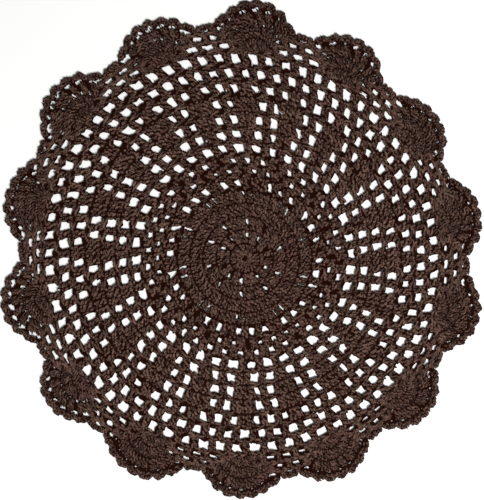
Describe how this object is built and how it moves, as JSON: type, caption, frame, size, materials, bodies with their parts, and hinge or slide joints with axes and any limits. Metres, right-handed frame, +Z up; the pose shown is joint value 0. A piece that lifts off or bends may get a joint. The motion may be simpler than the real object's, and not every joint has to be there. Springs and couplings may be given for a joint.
{
  "type": "crochet lace placemat",
  "caption": "Round crocheted cotton placemat: a solid middle, rings of open mesh with petals between them, and a scalloped edge of fans. It lies flat.",
  "frame": {"origin": "on the surface that the mat lies on, under the middle of its bounding box", "axes": "+Z up, out of the mat's right side; +Y to the top edge of the picture, along the mat's longer side; +X to its right"},
  "size_m": [0.3612, 0.3742, 0.0037],
  "materials": {
    "cotton_yarn": "matte plied cotton yarn, chocolate brown"
  },
  "bodies": {
    "root": {"mat": "cotton_yarn"}
  },
  "joints": []
}
